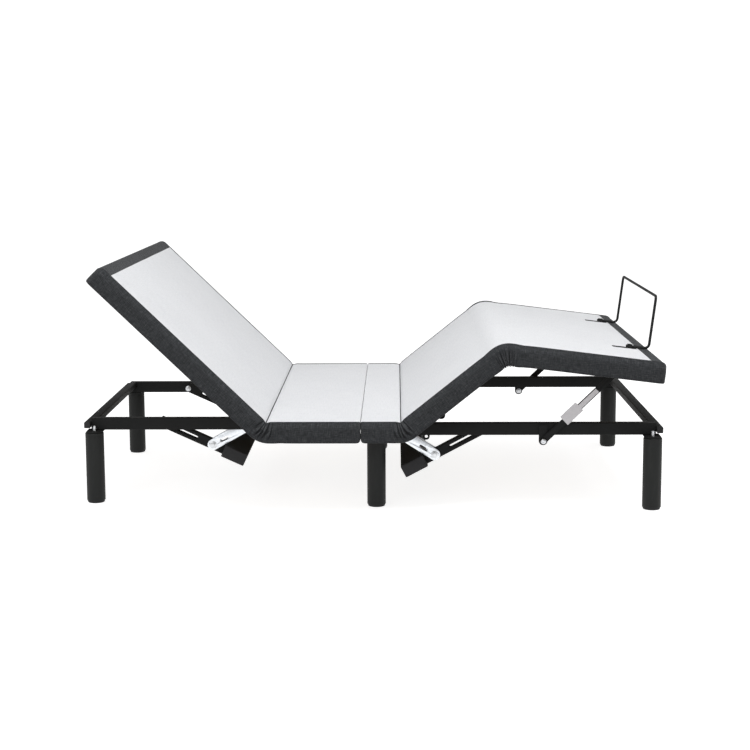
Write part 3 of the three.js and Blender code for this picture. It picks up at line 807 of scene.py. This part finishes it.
def dome_bolt(place, axis, radius=9 * MM):
    """A pan-headed pivot pin with a drilled centre."""
    profile = [(radius, 0), (radius, 1.6 * MM), (0.92 * radius, 3.2 * MM), (0.7 * radius, 4.4 * MM),
               (0.42 * radius, 4.9 * MM), (0.38 * radius, 4.0 * MM), (0.2 * radius, 3.6 * MM)]
    return lathe(profile, place, axis)


def add(name, shape, finish, slot, body, sharp_angle=35):
    piece = new_piece(name, *shape, finish, slot, sharp_angle)
    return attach(piece, body)


SIDES = (("left", 1), ("right", -1))


def legs():
    """Turned legs with a shoulder, a hairline groove, and a moulded glide under each."""
    for place_name in ("head", "middle", "foot"):
        for side_name, _ in SIDES:
            node = f"leg_{place_name}_{side_name}"
            low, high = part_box(node)
            centre = Vector(((low.x + high.x) / 2, (low.y + high.y) / 2, 0))
            glide = [(24 * MM, 0.2 * MM), (26.5 * MM, 1 * MM), (27.5 * MM, 3 * MM),
                     (27.5 * MM, 6 * MM), (22 * MM, 6.2 * MM)]
            body = [(25 * MM, 5.8 * MM), (28.6 * MM, 6.2 * MM), (LEG_RADIUS, 8.5 * MM),
                    (LEG_RADIUS, LEG_TOP - 12 * MM), (29.6 * MM, LEG_TOP - 11.5 * MM),
                    (29.6 * MM, LEG_TOP - 11 * MM), (LEG_RADIUS, LEG_TOP - 10.5 * MM),
                    (LEG_RADIUS, LEG_TOP - 1.5 * MM), (28.8 * MM, LEG_TOP), (10 * MM, LEG_TOP)]
            leg = add(f"{node}_turned", lathe(body, centre, sides=64), "leg_black", "leg_black", "base")
            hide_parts(node)
            add(f"{node}_glide", lathe(glide, centre), "motor_plastic", "leg_black", "base")


def leg_studs():
    """A bright threaded stud on each corner leg, up into the end frame."""
    for place_name in ("head", "foot"):
        for side_name, _ in SIDES:
            low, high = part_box(f"leg_{place_name}_{side_name}")
            centre = ((low.x + high.x) / 2, (low.y + high.y) / 2, PLATE_TOP)
            thread = []
            for turn in range(8):
                rise = turn * 2.2 * MM
                thread += [(4.5 * MM, rise + 0.3 * MM), (4.9 * MM, rise + 0.8 * MM),
                           (4.9 * MM, rise + 1.4 * MM), (4.5 * MM, rise + 1.9 * MM)]
            stud = lathe(thread, centre, sides=24)
            add(f"leg_stud_{place_name}_{side_name}", stud, "bolt", "zinc", "base")


def leg_plates():
    """Each corner leg's plate: round over the leg, and straight to where it is welded inboard."""
    for place_name in ("head", "foot"):
        for side_name, side in SIDES:
            node = f"leg_plate_{place_name}_{side_name}"
            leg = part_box(f"leg_{place_name}_{side_name}")
            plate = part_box(node)
            x = (leg[0].x + leg[1].x) / 2
            y = (leg[0].y + leg[1].y) / 2
            inboard = plate[0].y if side > 0 else plate[1].y
            radius = 27 * MM
            broken = 1 * MM
            levels = ((broken, plate[0].z), (0, plate[0].z + broken),
                      (0, PLATE_TOP - broken), (broken, PLATE_TOP))
            rings = []
            for shrink, z in levels:
                ring = []
                for step in range(PLATE_STEPS + 1):
                    angle = math.pi * step / PLATE_STEPS
                    reach = radius - shrink
                    ring.append((x + reach * math.cos(angle), y + side * reach * math.sin(angle), z))
                ring.append((x - radius + shrink, inboard + side * shrink, z))
                ring.append((x + radius - shrink, inboard + side * shrink, z))
                rings.append(ring)
            points = [point for ring in rings for point in ring]
            shape = (points, rings_to_faces(len(rings), len(rings[0])))
            made = add(f"{node}_pressed", shape, "black_steel", "black_steel", "base")
            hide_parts(node)


def rounded_outline(width, height, radius, steps=6):
    """A closed rounded rectangle about (0, 0)."""
    outline = []
    for quarter, (sx, sy) in enumerate(((1, 1), (-1, 1), (-1, -1), (1, -1))):
        for step in range(steps + 1):
            angle = math.pi / 2 * (quarter + step / steps)
            outline.append((sx * (width / 2 - radius) + radius * math.cos(angle),
                            sy * (height / 2 - radius) + radius * math.sin(angle)))
    return outline


def moulded_cap(width, height, centre, out, tilt, thickness=3 * MM):
    """A rounded plug in a tube's end, facing along Y, tilted about Y."""
    rings = []
    profile = ((0.0, 0.0), (0.0, thickness * 0.6), (0.9 * MM, thickness), (3.2 * MM, thickness + 0.4 * MM))
    for shrink, reach in profile:
        ring = []
        for u, v in rounded_outline(width - 2 * shrink, height - 2 * shrink, 3.4 * MM):
            x = u * math.cos(tilt) + v * math.sin(tilt)
            z = -u * math.sin(tilt) + v * math.cos(tilt)
            ring.append(Vector((centre[0] + x, centre[1] + out * reach, centre[2] + z)))
        rings.append(ring)
    points = [point for ring in rings for point in ring]
    return points, rings_to_faces(len(rings), len(rings[0]))


def tube_caps():
    """Black plugs in the open ends of the cross beams and of the end bars."""
    for name, truss, away in (("head", HEAD_TRUSS, 79 * MM), ("thigh", THIGH_TRUSS, 74.2 * MM)):
        tilt = math.radians(-truss["tilt"])
        toward = truss["hanger"][0]
        x = truss["x"] + toward * away * math.cos(math.radians(abs(truss["tilt"])))
        z = truss["z"] - away * math.sin(math.radians(abs(truss["tilt"])))
        half_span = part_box(f"{name}_beam")[1].y
        for side_name, side in SIDES:
            shape = moulded_cap(80 * MM, 40 * MM, (x, side * half_span, z), side, tilt)
            add(f"{name}_beam_cap_{side_name}", shape, "motor_plastic", "motor_plastic", "base")
    for name in ("head", "foot"):
        low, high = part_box(f"{name}_end_frame")
        outward = -1 if name == "head" else 1
        outer = low.x if name == "head" else high.x
        x = outer - outward * 10 * MM
        for side_name, side in SIDES:
            shape = moulded_cap(20 * MM, 20 * MM, (x, side * high.y, low.z + 10 * MM), side, 0.0, 2 * MM)
            add(f"{name}_end_cap_{side_name}", shape, "motor_plastic", "motor_plastic", "base")


def split_straps():
    """A thin steel strap behind each end of the split between the two fixed sections."""
    start = SEAT_END - 12 * MM
    end = FRONT_START + 12 * MM
    places = np.linspace(start, end, 9)
    low = SKIRT_BOTTOM + 6 * MM
    high = HINGE_Z - 14 * MM
    inner = DECK_HALF - SKIRT_THICKNESS - 3 * MM
    for side_name, side in SIDES:
        points = []
        for x in places:
            dish = 0.6 * MM * math.sin(math.pi * (x - start) / (end - start))
            for y, z in ((inner, low), (inner + 1.2 * MM, low), (inner + 1.2 * MM, high), (inner, high)):
                points.append((x, side * (y + dish), z))
        shape = (points, rings_to_faces(len(places), 4))
        add(f"split_strap_{side_name}", shape, "black_steel", "black_steel", "base")


def truss_points(truss):
    """Where the arm meets the hanger, and the upper ends of both."""
    joint = (truss["x"], truss["z"])
    ends = [joint]
    for (toward, angle), length in ((truss["arm"], ARM_LENGTH), (truss["hanger"], HANGER_LENGTH)):
        rise = math.radians(angle)
        ends.append((joint[0] + toward * length * math.cos(rise), joint[1] + length * math.sin(rise)))
    return ends


def truss_bolts():
    for name, truss in (("head", HEAD_TRUSS), ("thigh", THIGH_TRUSS)):
        joint, arm_end, hanger_end = truss_points(truss)
        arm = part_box(f"{name}_truss_arm_left")
        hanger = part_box(f"{name}_hanger_left")
        for side_name, side in SIDES:
            inner_arm = side * arm[0].y
            inner_hanger = side * hanger[0].y
            outer_hanger = side * hanger[1].y
            inward = (0, -side, 0)
            outward = (0, side, 0)
            bolts = merged(
                hex_bolt((joint[0], outer_hanger, joint[1]), outward),
                hex_bolt((joint[0], inner_hanger, joint[1]), inward),
                hex_bolt((arm_end[0], inner_arm, arm_end[1] - 4 * MM), inward, 11 * MM),
                hex_bolt((hanger_end[0], inner_hanger, hanger_end[1] - 4 * MM), inward, 11 * MM))
            add(f"{name}_truss_bolts_{side_name}", bolts, "bolt", "zinc", "base")


def link_pins():
    for side_name, side in SIDES:
        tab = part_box(f"link_tab_{side_name}")
        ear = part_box(f"link_bracket_{side_name}")
        tab_face = tab[1].y if side > 0 else tab[0].y
        tab_back = tab[0].y if side > 0 else tab[1].y
        ear_face = ear[0].y + 4 * MM if side > 0 else ear[1].y - 4 * MM
        foot_pin = merged(dome_bolt((LINK_FOOT.x, tab_face, LINK_FOOT.z), (0, side, 0)),
                          hex_bolt((LINK_FOOT.x, tab_back, LINK_FOOT.z), (0, -side, 0), 11 * MM))
        head_pin = hex_bolt((LINK_HEAD.x, ear_face, LINK_HEAD.z), (0, side, 0), 11 * MM)
        add(f"link_foot_pin_{side_name}", foot_pin, "bolt", "zinc", "base")
        add(f"link_head_bolt_{side_name}", head_pin, "bolt", "zinc", "calf_deck")


def link_tag():
    """A blank self-adhesive flag on the near link's outer face, with a narrow strip above it."""
    along = Vector((LINK_HEAD.x - LINK_FOOT.x, 0, LINK_HEAD.z - LINK_FOOT.z)).normalized()
    up = Vector((-along.z, 0, along.x))
    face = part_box("foot_link_right")[0].y
    for name, start, end, low, high in (("flag", 92, 160, -16, 21), ("strip", 160, 236, -7.5, 7.5)):
        columns = 14
        rows = 6
        front = []
        back = []
        for column in range(columns + 1):
            for row in range(rows + 1):
                reach = start + (end - start) * column / columns
                height = low + (high - low) * row / rows
                edge = max(abs(height) - 10, 0) / 10
                lifted = 1.6 * edge ** 1.5 * (1 + 0.5 * math.sin(reach * 0.09))
                curl = 0.5 + lifted + 0.15 * math.sin(reach * 0.21 + row)
                point = Vector((LINK_FOOT.x, 0, LINK_FOOT.z)) + along * reach * MM + up * height * MM
                front.append((point.x, face - (curl + 0.3) * MM, point.z))
                back.append((point.x, face - curl * MM, point.z))
        points = front + back
        size = (columns + 1) * (rows + 1)
        faces = []
        for column in range(columns):
            for row in range(rows):
                corner = column * (rows + 1) + row
                quad = [corner, corner + 1, corner + rows + 2, corner + rows + 1]
                faces += [quad, [size + value for value in reversed(quad)]]
        rim = [column * (rows + 1) for column in range(columns + 1)]
        rim += [columns * (rows + 1) + row for row in range(1, rows + 1)]
        rim += [column * (rows + 1) + rows for column in range(columns - 1, -1, -1)]
        rim += list(range(rows - 1, 0, -1))
        for this, following in zip(rim, rim[1:] + rim[:1]):
            faces.append([this, following, size + following, size + this])
        add(f"link_tag_{name}", (points, faces), "tag_paper", "tag_paper", "link_right", 60)


legs()
leg_studs()
leg_plates()
link_tag()
tube_caps()
split_straps()
truss_bolts()
link_pins()


# ---- finishes of the frame's own nodes ----
NODE_FINISHES = {
    "black_steel": ("rail", "end_frame", "seat_bar", "truss_arm", "subframe", "link", "retainer",
                    "leg_plate", "_beam"),
    "zinc": ("hanger", "rod"),
    "board": ("board",),
    "motor_plastic": ("motor", "control_box"),
}


def finish_for(node):
    for finish, words in NODE_FINISHES.items():
        if any(word in node for word in words):
            return finish
    return "leg_black" if node.startswith("leg") else "dark_linen"


def dress_frame():
    """Gives each node its finish, and breaks the sharp edges of the steel, zinc and plastic nodes as
    pressed and welded steel has them.
    """
    for name, node in frame["nodes"].items():
        finish = finish_for(name)
        node.data.materials.clear()
        node.data.materials.append(FINISHES[finish])
        node.data.shade_smooth()
        node.data.set_sharp_from_angle(angle=math.radians(35))
        if finish in ("black_steel", "zinc", "motor_plastic"):
            weld = node.modifiers.new("weld", "WELD")
            weld.merge_threshold = 0.02 * MM
            bevel = node.modifiers.new("broken_edges", "BEVEL")
            bevel.width = 0.9 * MM
            bevel.segments = 2
            bevel.limit_method = "ANGLE"
            bevel.angle_limit = math.radians(40)
            bevel.harden_normals = False


dress_frame()


# ---- studio ----
def add_camera():
    """A long lens well back, a little above the deck, looking slightly down."""
    pitch = 0.14487
    yaw = -0.013042
    roll = -0.003917
    place = (0.083138, -5.600743, 1.17285)
    forward = Vector((math.sin(yaw) * math.cos(pitch), math.cos(yaw) * math.cos(pitch), -math.sin(pitch)))
    level = Vector((math.cos(yaw), -math.sin(yaw), 0))
    upright = level.cross(forward)
    right = level * math.cos(roll) + upright * math.sin(roll)
    up = upright * math.cos(roll) - level * math.sin(roll)
    data = bpy.data.cameras.new("camera")
    data.sensor_width = 36
    data.lens = 77.469
    data.clip_end = 200
    camera = bpy.data.objects.new("camera", data)
    bpy.context.collection.objects.link(camera)
    camera.matrix_world = Matrix.Translation(place) @ Matrix((right, up, -forward)).transposed().to_4x4()
    bpy.context.scene.camera = camera


def add_floor():
    mesh = bpy.data.meshes.new("studio_floor")
    reach = 60
    corners = [(-reach, -reach, 0), (reach, -reach, 0), (reach, reach, 0), (-reach, reach, 0)]
    mesh.from_pydata(corners, [], [(0, 1, 2, 3)])
    mesh.materials.append(studio_paper())
    floor = bpy.data.objects.new("studio_floor", mesh)
    bpy.context.collection.objects.link(floor)
    floor.visible_diffuse = False


def add_wall():
    """A white drum and lid far round the bed, seen only directly, so that it adds no light of its own."""
    radius, height, sides = 55, 50, 48
    corners = []
    for level in (-1, height):
        for step in range(sides):
            angle = 2 * math.pi * step / sides
            corners.append((radius * math.cos(angle), radius * math.sin(angle), level))
    faces = rings_to_faces(2, sides, close_ends=False) + [list(range(sides, 2 * sides))]
    mesh = bpy.data.meshes.new("studio_wall")
    mesh.from_pydata(corners, [], faces)
    mesh.materials.append(studio_wall())
    wall = bpy.data.objects.new("studio_wall", mesh)
    bpy.context.collection.objects.link(wall)
    wall.visible_diffuse = False
    wall.visible_glossy = False
    wall.visible_transmission = False
    wall.visible_shadow = False


def add_softbox(name, place, target, size, power):
    data = bpy.data.lights.new(name, "AREA")
    data.shape = "RECTANGLE"
    data.size, data.size_y = size
    data.energy = power
    light = bpy.data.objects.new(name, data)
    bpy.context.collection.objects.link(light)
    light.location = place
    light.rotation_mode = "QUATERNION"
    light.rotation_quaternion = (Vector(target) - Vector(place)).to_track_quat("-Z", "Y")


def light_studio():
    world = bpy.data.worlds.new("studio_white")
    world.use_nodes = True
    world.node_tree.nodes["Background"].inputs["Color"].default_value = (1, 1, 1, 1)
    world.node_tree.nodes["Background"].inputs["Strength"].default_value = 0.52
    bpy.context.scene.world = world
    add_softbox("overhead_softbox", (0.7, -1.6, 4.2), (0.1, 0, 0.3), (3.6, 2.4), 170)
    add_softbox("front_softbox", (-2.2, -4.5, 2.2), (0, 0, 0.3), (2.5, 2.0), 40)


add_camera()
add_floor()
add_wall()
light_studio()
bpy.context.scene.view_settings.view_transform = "Standard"
